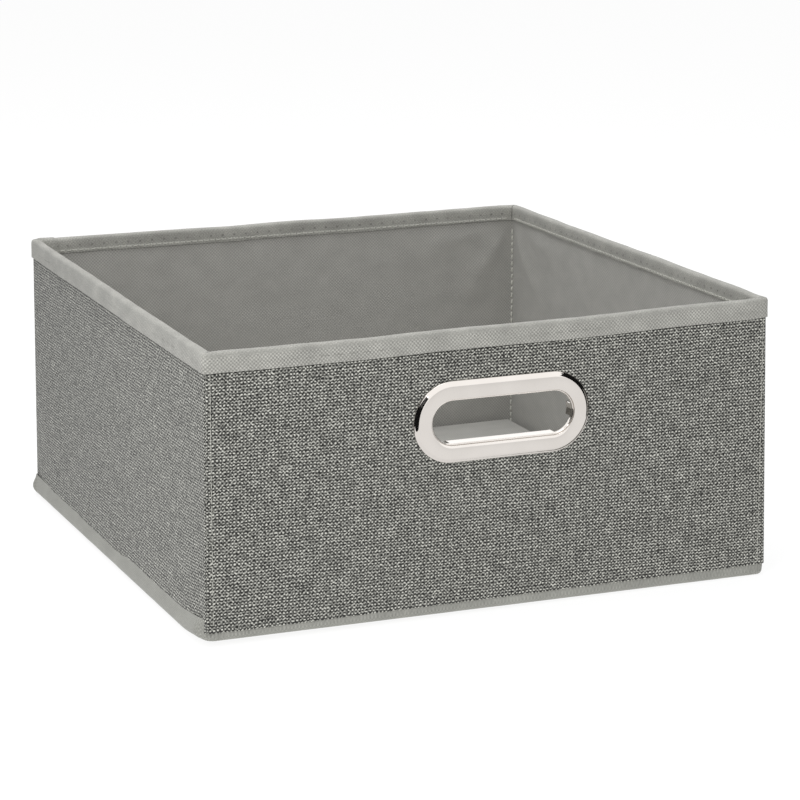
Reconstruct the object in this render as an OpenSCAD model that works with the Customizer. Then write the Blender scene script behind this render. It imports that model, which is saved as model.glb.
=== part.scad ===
// Folding fabric storage bin: boards sewn between an outer cloth and a lining, a taped
// rim, a cloth base with a turned-up edge, an oblong metal handle and a lift-out base insert.
// The origin is at the centre of the underside. The handle faces -Y and +Z is up.

/* [Bin] */
// Width across the rim tape
bin_w = 310; // [200:1:420]
// Depth across the rim tape
bin_d = 310; // [200:1:420]
// Height from the floor to the top of the rim tape
bin_h = 150; // [135:1:320]
// Outside radius of the upright corners of the outer cloth
corner_r = 2.6; // [1.5:0.1:4]

/* [Cloth and boards] */
// Thickness of the woven outer cloth
outer_cloth_t = 0.8; // [0.5:0.1:1.5]
// Thickness of the cardboard in the walls
board_t = 2.2; // [1.2:0.1:4]
// Thickness of the lining
lining_t = 0.5; // [0.3:0.1:1]
// Distance from the ends of the wall boards to the corner that the cloth folds round
board_end_gap = 0.4; // [0.2:0.1:3]
// Gap between the two halves of each side board, where the wall folds
crease_gap = 4; // [2:0.5:8]
// Distance from the top of the wall boards to the top of the outer cloth
board_top_gap = 4.5; // [1:0.1:10]

/* [Rim tape] */
// Thickness of the rim tape
tape_t = 0.7; // [0.4:0.1:1.2]
// Height of the tape outside the bin
tape_outside_h = 10; // [8:0.5:20]
// Height of the tape inside the bin
tape_inside_h = 8.5; // [8:0.5:20]
// Distance of the tape's stitch line below the rim
tape_stitch_drop = 6; // [4:0.5:7]

/* [Thread] */
// Thickness of the sewing thread
thread_t = 0.5; // [0.3:0.1:0.8]
// Distance of the upright seams from the faces of the side walls
corner_seam_inset = 2.6; // [2.6:0.1:8]

/* [Base] */
// Thickness of the base cloth
base_cloth_t = 0.8; // [0.5:0.1:1.5]
// Height of the turned-up edge of the base cloth
base_edge_h = 7; // [6:0.5:12]
// Radius of the bottom edge
base_edge_r = 5; // [3:0.5:5.5]
// Width of the rolled hem inside the foot of the walls, which the base insert rests on
base_hem_w = 9; // [6:0.5:15]
// Height of the rolled hem
base_hem_h = 10.5; // [2:0.5:12]

/* [Base insert] */
// Gap on each side between the base insert and what it passes, the rim tape or the handle's tabs
insert_side_gap = 0.5; // [0.4:0.1:5]
// Gap between the base insert and the hem under it
insert_floor_gap = 0.3; // [0.3:0.1:1]
// Thickness of the cardboard in the base insert
insert_board_t = 2; // [1.5:0.1:4]
// Thickness of the cloth on the base insert
insert_cover_t = 0.5; // [0.3:0.1:0.8]
// Width of the sewn hem round the base insert
insert_hem_w = 2.5; // [2:0.5:8]

/* [Handle] */
// Length of the handle plate
handle_w = 97; // [80:1:120]
// Height of the handle plate
handle_h = 42; // [38:1:56]
// Distance of the handle's centre below the rim
handle_drop = 49; // [42:1:65]
// Distance of the handle's centre to the right of the middle of the front
handle_x = 2.5; // [-10:0.5:10]
// Width of the flat rim of the handle plate
handle_rim_w = 9.5; // [8:0.5:10]
// How far the handle plate stands out from the cloth
handle_proud = 2.4; // [1.8:0.1:4]
// Width and depth of the bevel round the handle plate
handle_bevel = 1.2; // [0.6:0.1:1.4]
// Wall of the collar that passes through the bin's wall
collar_t = 1.2; // [0.8:0.1:2]
// Gap round the collar in the cloth, the board and the back ring
collar_gap = 0.4; // [0.2:0.1:1]
// Thickness of the ring inside the bin that the collar's tabs hold
back_ring_t = 1; // [0.6:0.1:2]
// Width of the ring inside the bin
back_ring_w = 5; // [4.5:0.5:6]
// Thickness of the bent tabs
tab_t = 0.8; // [0.5:0.1:1]
// Width of the bent tabs
tab_w = 8; // [4:0.5:12]
// How far the bent tabs lie over the back ring
tab_lap = 2.5; // [1.5:0.1:3.5]
// Depth of the notches that the tabs are cut from
notch_depth = 2.5; // [1.5:0.1:3]

/* [Hidden] */
$fn = 64;
// Cuts reach this far past the faces they open
cut_past = 1;
// Half width and half depth at each layer of the wall, from outside in
outer_face = [bin_w / 2 - tape_t, bin_d / 2 - tape_t];
board_face = outer_face - [outer_cloth_t, outer_cloth_t];
lining_face = board_face - [board_t, board_t];
inside_face = lining_face - [lining_t, lining_t];
tape_inside_face = inside_face - [tape_t, tape_t];
wall_t = outer_cloth_t + board_t + lining_t;
// Radii of the same corners, which follow each other round
board_corner_r = corner_r - outer_cloth_t;
inner_corner_r = 0.6;
tape_corner_r = corner_r + tape_t;
// Gap between the thread of the base seam and the layers beside it
seam_gap = 0.1;
// Heights
cloth_top = bin_h - tape_t;
board_top = cloth_top - board_top_gap;
board_bottom = base_edge_r + 0.5;
lining_bottom = base_cloth_t + 0.7;
tape_outside_bottom = bin_h - tape_outside_h;
tape_inside_bottom = bin_h - tape_inside_h;
stitch_z = bin_h - tape_stitch_drop;
insert_bottom = base_cloth_t + base_hem_h + insert_floor_gap;
// The handle
handle_z = bin_h - handle_drop;
handle_face_y = -outer_face[1];
hole_w = handle_w - 2 * handle_rim_w;
hole_h = handle_h - 2 * handle_rim_w;
collar_w = hole_w + 2 * collar_t;
collar_h = hole_h + 2 * collar_t;
cut_w = collar_w + 2 * collar_gap;
cut_h = collar_h + 2 * collar_gap;
back_ring_y = -inside_face[1];
tab_y = back_ring_y + back_ring_t;
tab_root = hole_w / 2;
tab_end = collar_w / 2 + collar_gap + tab_lap;

// A block with round upright corners, from z = low to z = high
module upright_block(half, r, low, high) {
    translate([-half[0], -half[1] + r, low]) cube([2 * half[0], 2 * (half[1] - r), high - low]);
    translate([-half[0] + r, -half[1], low]) cube([2 * (half[0] - r), 2 * half[1], high - low]);
    for (sx = [-1, 1], sy = [-1, 1])
        translate([sx * (half[0] - r), sy * (half[1] - r), low]) cylinder(r = r, h = high - low);
}

// A wall of one thickness all the way round, from z = low to z = high
module upright_ring(outer, outer_r, inner, inner_r, low, high) {
    difference() {
        upright_block(outer, outer_r, low, high);
        upright_block(inner, inner_r, low - cut_past, high + cut_past);
    }
}

// The quarter of the plan that one wall takes, cut along lines that run out through the corners.
// side is 0 at the front, 1 on the right, 2 at the back and 3 on the left
module wall_quarter(side) {
    x = outer_face[0];
    y = outer_face[1];
    near = wall_t + corner_r;
    past = cut_past;
    front = [[-x - past, -y - past], [x + past, -y - past], [x - near, near - y], [near - x, near - y]];
    right = [[x + past, -y - past], [x + past, y + past], [x - near, y - near], [x - near, near - y]];
    points = side == 0 ? front
        : side == 1 ? right
        : side == 2 ? [for (p = front) -p]
        : [for (p = right) -p];
    linear_extrude(height = bin_h + cut_past) polygon(points);
}

// An oblong with round ends, standing upright across Y from y = near to y = far
module oblong(w, h, near, far) {
    translate([handle_x - (w - h) / 2, near, handle_z - h / 2]) cube([w - h, far - near, h]);
    for (s = [-1, 1])
        translate([handle_x + s * (w - h) / 2, near, handle_z]) rotate([-90, 0, 0])
            cylinder(d = h, h = far - near);
}

// The opening for the collar, through every layer of the front wall
module handle_cut() {
    oblong(cut_w, cut_h, -outer_face[1] - cut_past, -inside_face[1] + cut_past);
}

module cloth_panel(side) {
    difference() {
        intersection() {
            upright_ring(outer_face, corner_r, board_face, board_corner_r, base_edge_h, cloth_top);
            wall_quarter(side);
        }
        if (side == 0) handle_cut();
    }
}

module lining_panel(side) {
    difference() {
        intersection() {
            upright_ring(lining_face, inner_corner_r + lining_t, inside_face, inner_corner_r,
                lining_bottom, cloth_top);
            wall_quarter(side);
        }
        if (side == 0) handle_cut();
    }
}

// A flat board across the bin, at the front (s = -1) or the back (s = 1)
module cross_board(s) {
    half = lining_face[0] - board_end_gap;
    y = s < 0 ? -board_face[1] : lining_face[1];
    difference() {
        translate([-half, y, board_bottom]) cube([2 * half, board_t, board_top - board_bottom]);
        if (s < 0) handle_cut();
    }
}

// One half of a side board: sx is the side, sy is the front half (-1) or the rear half (1)
module side_half_board(sx, sy) {
    x = sx < 0 ? -board_face[0] : lining_face[0];
    length = lining_face[1] - board_end_gap - crease_gap / 2;
    y = sy < 0 ? -crease_gap / 2 - length : crease_gap / 2;
    translate([x, y, board_bottom]) cube([board_t, length, board_top - board_bottom]);
}

// Thread lying on the face of the wall, drawn as a square bar
module thread_ring(outer, outer_r, z) {
    inner = outer - [thread_t, thread_t];
    upright_ring(outer, outer_r, inner, max(outer_r - thread_t, 0.1), z - thread_t / 2, z + thread_t / 2);
}

module corner_thread(sx, sy) {
    x = outer_face[0] - corner_seam_inset;
    inside_x = inside_face[0] - corner_seam_inset / 2;
    outside_y = sy < 0 ? -outer_face[1] - thread_t : outer_face[1];
    inside_y = sy < 0 ? -inside_face[1] : inside_face[1] - thread_t;
    translate([sx * x - thread_t / 2, outside_y, base_edge_h + 1])
        cube([thread_t, thread_t, tape_outside_bottom - base_edge_h - 2]);
    translate([sx * inside_x - thread_t / 2, inside_y, insert_bottom + 1])
        cube([thread_t, thread_t, tape_inside_bottom - insert_bottom - 2]);
}

// The base cloth's outer shape less an inset: round bottom edges and upright corners. Its
// inner face meets the boards
module base_block(inset) {
    out = base_cloth_t - inset;
    half = board_face + [out, out];
    r = base_edge_r - inset;
    low = inset;
    high = base_edge_h + (inset > 0 ? cut_past : 0);
    intersection() {
        upright_block(half, board_corner_r + out, low, high);
        union() {
            translate([-half[0], -half[1], low + r]) cube([2 * half[0], 2 * half[1], high - low - r]);
            translate([-half[0], r - half[1], low]) cube([2 * half[0], 2 * (half[1] - r), high - low]);
            for (s = [-1, 1])
                translate([-half[0], s * (half[1] - r), low + r]) rotate([0, 90, 0])
                    cylinder(r = r, h = 2 * half[0]);
        }
        union() {
            translate([-half[0], -half[1], low + r]) cube([2 * half[0], 2 * half[1], high - low - r]);
            translate([r - half[0], -half[1], low]) cube([2 * (half[0] - r), 2 * half[1], high - low]);
            for (s = [-1, 1])
                translate([s * (half[0] - r), -half[1], low + r]) rotate([-90, 0, 0])
                    cylinder(r = r, h = 2 * half[1]);
        }
    }
}

module outer_cloth_front() { color("#7b7a76") cloth_panel(0); }
module outer_cloth_right() { color("#7b7a76") cloth_panel(1); }
module outer_cloth_back() { color("#7b7a76") cloth_panel(2); }
module outer_cloth_left() { color("#8b8a85") cloth_panel(3); }

module front_board() { color("#b8935f") cross_board(-1); }
module back_board() { color("#b8935f") cross_board(1); }
module left_board_front_half() { color("#b8935f") side_half_board(-1, -1); }
module left_board_rear_half() { color("#b8935f") side_half_board(-1, 1); }
module right_board_front_half() { color("#b8935f") side_half_board(1, -1); }
module right_board_rear_half() { color("#b8935f") side_half_board(1, 1); }

module lining_front() { color("#8c8a87") lining_panel(0); }
module lining_right() { color("#8c8a87") lining_panel(1); }
module lining_back() { color("#8c8a87") lining_panel(2); }
module lining_left() { color("#8c8a87") lining_panel(3); }

// One tape folded over the top edges of the outer cloth and the lining, all round the rim
module rim_binding() {
    color("#b0aea9") difference() {
        upright_block([bin_w / 2, bin_d / 2], tape_corner_r, tape_outside_bottom, bin_h);
        upright_block(outer_face, corner_r, tape_outside_bottom - cut_past, tape_inside_bottom);
        upright_ring(outer_face, corner_r, inside_face, inner_corner_r,
            tape_inside_bottom - cut_past, cloth_top);
        upright_block(tape_inside_face, inner_corner_r, tape_outside_bottom - cut_past, bin_h + cut_past);
    }
}

// The stitch line that holds the tape: one line outside the bin and one inside
module rim_thread() {
    color("#d9d7d2") {
        thread_ring([bin_w / 2 + thread_t, bin_d / 2 + thread_t], tape_corner_r + thread_t, stitch_z);
        thread_ring(tape_inside_face, inner_corner_r, stitch_z);
    }
}

module corner_thread_front_left() { color("#d9d7d2") corner_thread(-1, -1); }
module corner_thread_front_right() { color("#d9d7d2") corner_thread(1, -1); }
module corner_thread_back_left() { color("#d9d7d2") corner_thread(-1, 1); }
module corner_thread_back_right() { color("#d9d7d2") corner_thread(1, 1); }

// The base cloth, with the rolled hem of its seam inside the foot of the walls
module base_cloth() {
    hem_inner = inside_face - [base_hem_w, base_hem_w];
    color("#9c9d98") {
        difference() {
            base_block(0);
            base_block(base_cloth_t);
        }
        upright_ring(inside_face, inner_corner_r, hem_inner, inner_corner_r,
            base_cloth_t / 2, base_cloth_t + base_hem_h);
    }
}

// The seam that joins the base cloth to the walls lies inside, below the boards
module base_seam_thread() {
    out = thread_t + seam_gap;
    color("#d9d7d2") thread_ring(
        lining_face + [out, out], inner_corner_r + lining_t + out, board_bottom - out);
}

// The insert passes what reaches furthest into the bin, the tape or the tabs of the handle
inner_reach = max(tape_t, back_ring_t + tab_t);
insert_half = inside_face - [inner_reach + insert_side_gap, inner_reach + insert_side_gap];
insert_board_half = insert_half - [insert_hem_w, insert_hem_w];
insert_board_bottom = insert_bottom + insert_cover_t;

module insert_board() {
    half = insert_board_half;
    color("#b8935f") translate([-half[0], -half[1], insert_board_bottom])
        cube([2 * half[0], 2 * half[1], insert_board_t]);
}

module insert_cover_bottom() {
    color("#8c8a87") translate([-insert_half[0], -insert_half[1], insert_bottom])
        cube([2 * insert_half[0], 2 * insert_half[1], insert_cover_t]);
}

// The top cover lies over the board and comes down to the hem, where it is sewn to the bottom cover
module insert_cover_top() {
    wrapped = insert_board_half + [insert_cover_t, insert_cover_t];
    color("#8c8a87") difference() {
        union() {
            translate([-wrapped[0], -wrapped[1], insert_board_bottom])
                cube([2 * wrapped[0], 2 * wrapped[1], insert_board_t + insert_cover_t]);
            translate([-insert_half[0], -insert_half[1], insert_board_bottom])
                cube([2 * insert_half[0], 2 * insert_half[1], insert_cover_t]);
        }
        translate([-insert_board_half[0], -insert_board_half[1], insert_board_bottom - cut_past])
            cube([2 * insert_board_half[0], 2 * insert_board_half[1], insert_board_t + cut_past]);
    }
}

module insert_thread() {
    seam = insert_half - [insert_hem_w - thread_t, insert_hem_w - thread_t] / 2;
    color("#d9d7d2") thread_ring(seam, 1, insert_board_bottom + insert_cover_t + thread_t / 2);
}

// The handle plate, with a bevelled edge, the collar behind it and a tab at each end of the
// collar, cut out of its wall and bent outwards over the ring
module handle_bezel() {
    front_y = handle_face_y - handle_proud;
    color("#d5d0cb") {
        difference() {
            union() {
                oblong(handle_w, handle_h, front_y + handle_bevel, handle_face_y);
                oblong(handle_w - 2 * handle_bevel, handle_h - 2 * handle_bevel,
                    front_y, front_y + handle_bevel);
                oblong(collar_w, collar_h, front_y + handle_bevel, tab_y + tab_t);
            }
            oblong(hole_w, hole_h, front_y - cut_past, tab_y + tab_t + cut_past);
            translate([handle_x - collar_w / 2 - cut_past, tab_y - notch_depth, handle_z - tab_w / 2])
                cube([collar_w + 2 * cut_past, notch_depth, tab_w]);
        }
        for (s = [-1, 1])
            translate([handle_x + (s < 0 ? -tab_end : tab_root), tab_y, handle_z - tab_w / 2])
                cube([tab_end - tab_root, tab_t, tab_w]);
    }
}

module handle_back_ring() {
    color("#d5d0cb") difference() {
        oblong(cut_w + 2 * back_ring_w, cut_h + 2 * back_ring_w, back_ring_y, tab_y);
        oblong(cut_w, cut_h, back_ring_y - cut_past, tab_y + cut_past);
    }
}

outer_cloth_front();
outer_cloth_back();
outer_cloth_left();
outer_cloth_right();
front_board();
back_board();
left_board_front_half();
left_board_rear_half();
right_board_front_half();
right_board_rear_half();
lining_front();
lining_back();
lining_left();
lining_right();
rim_binding();
rim_thread();
corner_thread_front_left();
corner_thread_front_right();
corner_thread_back_left();
corner_thread_back_right();
base_cloth();
base_seam_thread();
insert_board();
insert_cover_top();
insert_cover_bottom();
insert_thread();
handle_bezel();
handle_back_ring();
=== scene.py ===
import math

import bpy
import numpy as np
from mathutils import Matrix, Vector, noise


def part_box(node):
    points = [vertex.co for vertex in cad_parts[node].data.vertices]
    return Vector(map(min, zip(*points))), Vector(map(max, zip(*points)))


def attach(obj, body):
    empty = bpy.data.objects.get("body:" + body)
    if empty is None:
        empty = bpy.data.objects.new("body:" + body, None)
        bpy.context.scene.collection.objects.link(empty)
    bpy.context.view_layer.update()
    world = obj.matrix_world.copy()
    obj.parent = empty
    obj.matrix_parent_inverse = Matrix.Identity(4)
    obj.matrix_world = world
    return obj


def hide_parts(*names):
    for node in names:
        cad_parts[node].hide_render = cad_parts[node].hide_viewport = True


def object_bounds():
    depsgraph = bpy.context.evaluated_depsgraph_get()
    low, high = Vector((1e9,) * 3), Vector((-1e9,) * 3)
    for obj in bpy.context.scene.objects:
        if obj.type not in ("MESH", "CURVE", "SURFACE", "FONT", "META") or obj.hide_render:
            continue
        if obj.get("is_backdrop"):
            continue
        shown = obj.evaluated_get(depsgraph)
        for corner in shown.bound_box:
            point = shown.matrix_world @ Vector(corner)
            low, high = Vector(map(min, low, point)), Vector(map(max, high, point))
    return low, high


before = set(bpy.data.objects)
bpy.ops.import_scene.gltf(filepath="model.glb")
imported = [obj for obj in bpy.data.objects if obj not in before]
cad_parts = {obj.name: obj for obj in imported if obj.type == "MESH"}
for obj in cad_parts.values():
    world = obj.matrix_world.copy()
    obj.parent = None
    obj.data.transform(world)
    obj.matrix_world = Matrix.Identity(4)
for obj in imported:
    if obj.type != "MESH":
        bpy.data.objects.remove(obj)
cad_low, cad_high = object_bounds()
bpy.ops.object.select_all(action="DESELECT")
MM = 0.001


# The camera stands to the front left of the bin and a little above it. Its long lens is
# shifted down a little, which keeps the upright edges of the bin nearly upright.
CAMERA_PLACE = Vector((-0.5641, -1.3719, 0.4357))
CAMERA_TURN = math.radians(-22.770)
CAMERA_TILT = math.radians(11.164)
camera_back = Vector((math.sin(CAMERA_TURN) * math.cos(CAMERA_TILT),
                      -math.cos(CAMERA_TURN) * math.cos(CAMERA_TILT),
                      math.sin(CAMERA_TILT)))
bpy.ops.object.camera_add(location=CAMERA_PLACE, rotation=camera_back.to_track_quat("Z", "Y").to_euler())
camera = bpy.context.object
camera.data.lens = 123.88
camera.data.sensor_width = 36
camera.data.shift_y = -0.15
camera.data.clip_start = 0.05
camera.data.clip_end = 50
bpy.context.scene.camera = camera


# The studio is a wide white floor under a white sky that is brighter in reflections, with a small
# light at the front left and a wide one overhead. Reflections also show two dark flags, and a
# dark screen keeps some of the sky's light off the far end of the left wall.
FLOOR_GAP = 0.2 * MM


def make_material(name, roughness):
    """A new material: its node tree and its shader."""
    material = bpy.data.materials.new(name)
    material.use_nodes = True
    shader = material.node_tree.nodes["Principled BSDF"]
    shader.inputs["Roughness"].default_value = roughness
    return material, material.node_tree, shader


floor_paint, tree, shader = make_material("floor_paint", 0.9)
shader.inputs["Base Color"].default_value = (0.2, 0.2, 0.2, 1)
shader.inputs["Specular IOR Level"].default_value = 0.0
shader.inputs["Emission Color"].default_value = (1, 1, 1, 1)
shader.inputs["Emission Strength"].default_value = 0.86
bpy.ops.mesh.primitive_plane_add(size=16, location=(0, 0, -FLOOR_GAP))
floor = bpy.context.object
floor.name = "floor"
floor.data.materials.append(floor_paint)
floor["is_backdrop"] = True

world = bpy.data.worlds.new("white_sky")
world.use_nodes = True
SKY = 0.55
SKY_IN_REFLECTIONS = 1.4
sky = world.node_tree.nodes["Background"]
sky.inputs["Color"].default_value = (1.0, 1.0, 1.0, 1)
ray = world.node_tree.nodes.new("ShaderNodeLightPath")
strength = world.node_tree.nodes.new("ShaderNodeMath")
strength.operation = "MULTIPLY_ADD"
strength.inputs[1].default_value = SKY_IN_REFLECTIONS - SKY
strength.inputs[2].default_value = SKY
world.node_tree.links.new(ray.outputs["Is Glossy Ray"], strength.inputs[0])
world.node_tree.links.new(strength.outputs[0], sky.inputs["Strength"])
bpy.context.scene.world = world
bpy.context.scene.view_settings.view_transform = "Standard"

for name, place, size, power in (
        ("key_light", (-0.62, -0.66, 0.60), 0.4, 2.6),
        ("top_light", (-0.12, 0.1, 1.7), 1.2, 15)):
    aim = Vector(place).to_track_quat("Z", "Y").to_euler()
    bpy.ops.object.light_add(type="AREA", location=place, rotation=aim)
    light = bpy.context.object
    light.name = name
    light.data.size = size
    light.data.energy = power

flag_paint, tree, shader = make_material("flag_paint", 1.0)
shader.inputs["Base Color"].default_value = (0.01, 0.01, 0.01, 1)
shader.inputs["Specular IOR Level"].default_value = 0.0
for name, place, size in (
        ("left_flag", (-0.22, -0.38, 0.18), (0.44, 0.36)),
        ("right_flag", (0.31, -0.22, 0.20), (0.40, 0.40))):
    bpy.ops.mesh.primitive_plane_add(size=1, location=place, rotation=(0, math.radians(90), 0))
    flag = bpy.context.object
    flag.name = name
    flag.scale = (size[1], size[0], 1)
    flag.data.materials.append(flag_paint)
    flag.visible_camera = False
    flag.visible_diffuse = False
    flag.visible_shadow = False
    flag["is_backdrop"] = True

bpy.ops.mesh.primitive_plane_add(size=0.36, location=(-0.44, 0.22, 0.19),
                                 rotation=(0, math.radians(90), 0))
screen = bpy.context.object
screen.name = "far_left_screen"
screen.data.materials.append(flag_paint)
screen.visible_camera = False
screen.visible_shadow = False
screen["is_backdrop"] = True


# The boards stiffen the walls. They are cut from plain brown board and slipped between the
# outer cloth and the lining, with each side in two halves, so that it can fold inwards.
board_paint, tree, shader = make_material("plain_board", 0.85)
place = tree.nodes.new("ShaderNodeTexCoord")
fibre = tree.nodes.new("ShaderNodeTexNoise")
fibre.inputs["Scale"].default_value = 900
fibre.inputs["Detail"].default_value = 4
cloud = tree.nodes.new("ShaderNodeTexNoise")
cloud.inputs["Scale"].default_value = 45
mottle = tree.nodes.new("ShaderNodeMath")
mottle.operation = "MULTIPLY"
tint = tree.nodes.new("ShaderNodeValToRGB")
tint.color_ramp.elements[0].position = 0.12
tint.color_ramp.elements[0].color = (0.26, 0.18, 0.10, 1)
tint.color_ramp.elements[1].position = 0.42
tint.color_ramp.elements[1].color = (0.52, 0.39, 0.25, 1)
grain = tree.nodes.new("ShaderNodeBump")
grain.inputs["Strength"].default_value = 0.3
grain.inputs["Distance"].default_value = 0.1 * MM
tree.links.new(place.outputs["Object"], fibre.inputs["Vector"])
tree.links.new(place.outputs["Object"], cloud.inputs["Vector"])
tree.links.new(fibre.outputs["Fac"], mottle.inputs[0])
tree.links.new(cloud.outputs["Fac"], mottle.inputs[1])
tree.links.new(mottle.outputs[0], tint.inputs["Fac"])
tree.links.new(tint.outputs["Color"], shader.inputs["Base Color"])
tree.links.new(fibre.outputs["Fac"], grain.inputs["Height"])
tree.links.new(grain.outputs["Normal"], shader.inputs["Normal"])
for name in ("front_board", "back_board", "left_board_front_half", "left_board_rear_half",
             "right_board_front_half", "right_board_rear_half", "insert_board"):
    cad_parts[name].material_slots[0].material = board_paint


# The outer cloth is a plain weave of light and dark mixed yarns, one panel for each wall. Its colour
# also holds painted shade in the gaps between the yarns and painted highlights on their crowns. Each
# panel is stretched over its board and goes round to the middle of the corner on either side.
SIDES = ("front", "right", "back", "left")
CLOTH_THICK = 0.8 * MM
CORNER_RADIUS = 2.6 * MM
WARP_PITCH = 1.8 * MM
WEFT_PITCH = 1.53 * MM
rim_low, rim_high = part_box("rim_binding")
cloth_low, cloth_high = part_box("outer_cloth_front")
TAPE_THICK = cloth_low.y - rim_low.y
HALF = (rim_high.x, rim_high.y)
UP = Vector((0, 0, 1))


def on_wall(side, share, turn, inset, radius):
    """The point in plan and the outward direction at a place round the bin. share runs from -1
    to 1 along the flat of the wall and turn is the angle gone round a corner, seen from outside.
    inset is how far the surface lies in from the outside of the rim tape."""
    along = HALF[side % 2] - inset - radius
    out = HALF[1 - side % 2] - inset - radius
    x = share * along + radius * math.sin(turn)
    y = -out - radius * math.cos(turn)
    c, s = ((1, 0), (0, 1), (-1, 0), (0, -1))[side]
    point = Vector((c * x - s * y, s * x + c * y, 0))
    outward = Vector((c * math.sin(turn) + s * math.cos(turn), s * math.sin(turn) - c * math.cos(turn), 0))
    return point, outward


def steps(first, last, count):
    """Evenly spaced numbers from first to last, with count gaps between them."""
    return [first + (last - first) * i / count for i in range(count + 1)]


# How far the cloth is from square, in millimetres. The rim stands high at the back, lower at the
# front and lowest at the front left, and it sags between the front corners. The foot of the front
# wall rides up, more at the left, and this fades out over FOOT_DEPTH, which is in metres.
RIM_LIFT = 0.7
FRONT_DIP = 0.9
LEFT_DIP = 2.9
FRONT_SAG = 2.8
FOOT_RISE = 0.1
LEFT_FOOT_RISE = 2.4
FOOT_DEPTH = 35 * MM


def plan_share(point):
    """How far to the left and how far forward a place is, each from 0 to 1."""
    return 0.5 - point.x / (2 * HALF[0]), 0.5 - point.y / (2 * HALF[1])


def foot_rise(point):
    """How far the foot rides up in millimetres, most at the left of the front wall."""
    left = plan_share(point)[0]
    return (FOOT_RISE + LEFT_FOOT_RISE * left) * ease((-point.y - HALF[1] + FOOT_DEPTH) / FOOT_DEPTH)


def settle(point):
    """Cloth doesn't stand quite square: the rim dips at the front left, and the foot of the front
    wall rides up on that side."""
    left, front = plan_share(point)
    high = ease(point.z / rim_high.z)
    rim = RIM_LIFT + front * (-FRONT_DIP - LEFT_DIP * left - FRONT_SAG * left * (1 - left))
    return point + Vector((0, 0, (rim * high + foot_rise(point) * (1 - high)) * MM))


def lay_cloth(name, columns, rows, place, thickness, along=None):
    """A flat grid of cloth with its own lengthwise and crosswise threads as its UV map, in metres,
    folded so that the knot of each column and row is at place(column, row). along gives the length
    of the cloth at each column, where it can't be measured on the middle row."""
    bpy.ops.mesh.primitive_grid_add(x_subdivisions=len(columns) - 1, y_subdivisions=len(rows) - 1)
    cloth = bpy.context.object
    cloth.name = name
    knots = np.array([[place(c, r) for c in columns] for r in rows])
    middle = knots[len(rows) // 2]
    across = np.append(0, np.cumsum(np.linalg.norm(np.diff(middle, axis=0), axis=1)))
    middle = knots[:, len(columns) // 2]
    up = np.append(0, np.cumsum(np.linalg.norm(np.diff(middle, axis=0), axis=1)))
    flat = np.stack(np.meshgrid(across if along is None else along, up), -1).reshape(-1, 2)
    mesh = cloth.data
    mesh.vertices.foreach_set("co", knots.ravel())
    owner = np.zeros(len(mesh.loops), int)
    mesh.loops.foreach_get("vertex_index", owner)
    mesh.uv_layers.active.data.foreach_set("uv", flat[owner].ravel())
    mesh.update()
    if thickness:
        thicken(cloth, thickness)
    return cloth


def thicken(cloth, thickness):
    """Gives a sheet its thickness, behind its face."""
    body = cloth.modifiers.new("thickness", "SOLIDIFY")
    body.thickness = thickness
    body.offset = -1
    body.use_even_offset = True
    bpy.ops.object.modifier_apply(modifier=body.name)
    bpy.ops.object.shade_smooth_by_angle(angle=math.radians(35))


def soft(x, y, z, size):
    """Smooth unevenness from about -1 to 1, with lumps of about the given size."""
    return noise.noise(Vector((x / size, y / size, z / size))) * 1.6


def ease(value):
    """0 below 0, 1 above 1 and a smooth climb between them."""
    t = min(1, max(0, value))
    return t * t * (3 - 2 * t)


def calculate(tree, operation, first, second=0.0):
    """One Math node on two sockets or numbers; returns its output."""
    node = tree.nodes.new("ShaderNodeMath")
    node.operation = operation
    for socket, value in zip(node.inputs, (first, second)):
        if isinstance(value, bpy.types.NodeSocket):
            tree.links.new(value, socket)
        else:
            socket.default_value = value
    return node.outputs[0]


def wave(tree, kind, distance, period):
    """The sine or cosine of a distance, once round for each period."""
    turns = calculate(tree, "DIVIDE", distance, period)
    return calculate(tree, kind, calculate(tree, "MULTIPLY", turns, 2 * math.pi))


def patches(tree, across, along, sizes, detail=1.0, seed=0.0):
    """Noise from 0 to 1 over the cloth, with patches of the two given sizes."""
    node = tree.nodes.new("ShaderNodeTexNoise")
    node.inputs["Scale"].default_value = 1.0
    node.inputs["Detail"].default_value = detail
    spot = tree.nodes.new("ShaderNodeCombineXYZ")
    tree.links.new(calculate(tree, "DIVIDE", across, sizes[0]), spot.inputs[0])
    tree.links.new(calculate(tree, "DIVIDE", along, sizes[1]), spot.inputs[1])
    spot.inputs[2].default_value = seed
    tree.links.new(spot.outputs[0], node.inputs["Vector"])
    return node.outputs["Fac"]


def weighted_sum(tree, parts):
    """Adds sockets, each times its weight."""
    total = 0.0
    for socket, weight in parts:
        total = calculate(tree, "ADD", calculate(tree, "MULTIPLY", socket, weight), total)
    return total


def new_group(name, inputs, outputs):
    """An empty node group with number sockets: its tree, its inputs and its output node."""
    group = bpy.data.node_groups.new(name, "ShaderNodeTree")
    for word in inputs:
        group.interface.new_socket(name=word, in_out="INPUT", socket_type="NodeSocketFloat")
    for word in outputs:
        group.interface.new_socket(name=word, in_out="OUTPUT", socket_type="NodeSocketFloat")
    entry = group.nodes.new("NodeGroupInput")
    leave = group.nodes.new("NodeGroupOutput")
    return group, entry.outputs, leave.inputs


# Rows of small dots are pressed into the cloth by the roller that bonds it.
DOT_PITCH = 1.95 * MM
dots, given, result = new_group("pressed_dots", ("Across", "Along"), ("Raised",))
drift = patches(dots, given["Across"], given["Along"], (9 * MM, 9 * MM), seed=3.0)
drift = calculate(dots, "MULTIPLY", calculate(dots, "SUBTRACT", drift, 0.5), 1.1 * MM)
raised = calculate(dots, "MULTIPLY",
                   wave(dots, "SINE", calculate(dots, "ADD", given["Across"], drift), DOT_PITCH),
                   wave(dots, "SINE", calculate(dots, "SUBTRACT", given["Along"], drift), DOT_PITCH))
dots.links.new(raised, result["Raised"])


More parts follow.
